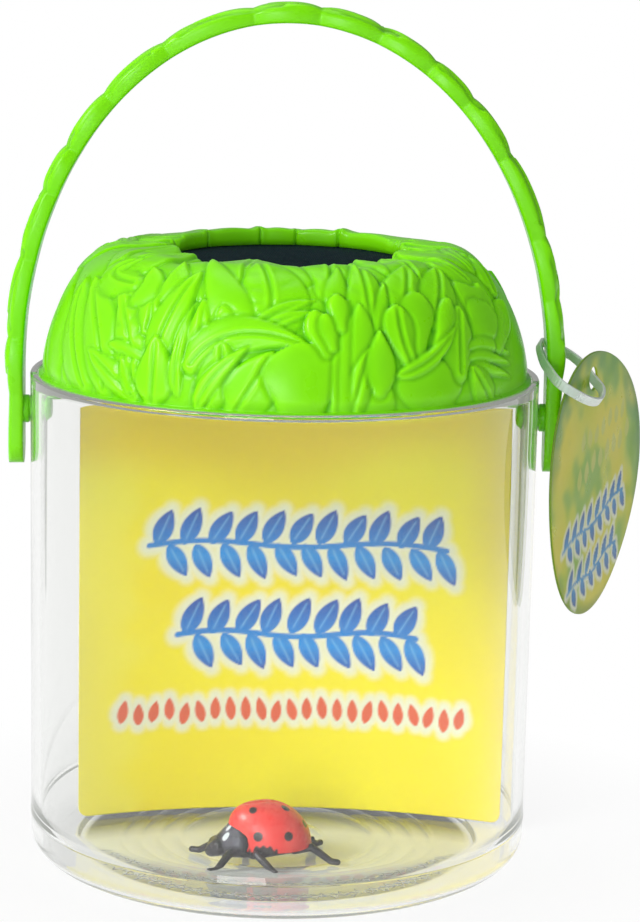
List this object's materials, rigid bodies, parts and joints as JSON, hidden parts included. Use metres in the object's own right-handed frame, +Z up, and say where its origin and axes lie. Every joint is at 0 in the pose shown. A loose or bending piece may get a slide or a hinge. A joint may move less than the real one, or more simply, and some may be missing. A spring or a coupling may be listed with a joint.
{
  "type": "bug catcher jar",
  "caption": "Clear round jar with a leaf-moulded vented green lid, swinging leaf-moulded handle, hang tag on a nylon tie, card insert and toy ladybird.",
  "frame": {"origin": "on the jar's axis at the underside of the jar, in the plane that it stands on", "axes": "+Z up along the jar's axis, +X towards the side that carries the hang tag, along the handle's pivot axis, -Y to the front, away from the card insert"},
  "size_m": [0.1642, 0.127, 0.2141],
  "materials": {
    "clear_plastic": "clear injection-moulded plastic, polished",
    "green_plastic": "lime green moulded plastic, satin gloss",
    "mesh_cloth": "fine woven mesh, dark navy",
    "nylon": "translucent natural nylon",
    "tag_card": "coated printed card, soft green blend",
    "yellow_card": "coated printed card, bright yellow",
    "red_toy": "soft toy rubber, red with painted spots",
    "black_toy": "soft toy rubber, black"
  },
  "bodies": {
    "jar": {"jar_body": "clear_plastic", "insert_card": "yellow_card"},
    "lid": {"lid_dome": "green_plastic", "mesh_screen": "mesh_cloth", "mesh_ring": "green_plastic"},
    "bail": {"handle": "green_plastic"},
    "tie": {"tag_tie": "nylon"},
    "tag": {"hang_tag": "tag_card"},
    "ladybird": {"ladybird_shell": "red_toy", "ladybird_body": "black_toy"}
  },
  "joints": [
    {"name": "handle_swing", "type": "hinge", "parent": "jar", "child": "bail", "pos_m": [0, 0, 0.1122], "axis": [1, 0, 0], "range_deg": [-130, 130]},
    {"name": "lid_lift", "type": "slide", "parent": "jar", "child": "lid", "axis": [0, 0, 1], "range_m": [0, 0.02]},
    {"name": "tie_lift", "type": "hinge", "parent": "bail", "child": "tie", "pos_m": [0.0635, 0, 0.1285], "axis": [0, -0.9701, -0.2425], "range_deg": [0, 20]},
    {"name": "tag_swing", "type": "hinge", "parent": "tie", "child": "tag", "pos_m": [0.077, 0, 0.1225], "axis": [0.9026, -0.4305, 0], "range_deg": [-3, 18]},
    {"name": "ladybird_lift", "type": "slide", "parent": "jar", "child": "ladybird", "axis": [0, 0, 1], "range_m": [0, 0.06]}
  ]
}
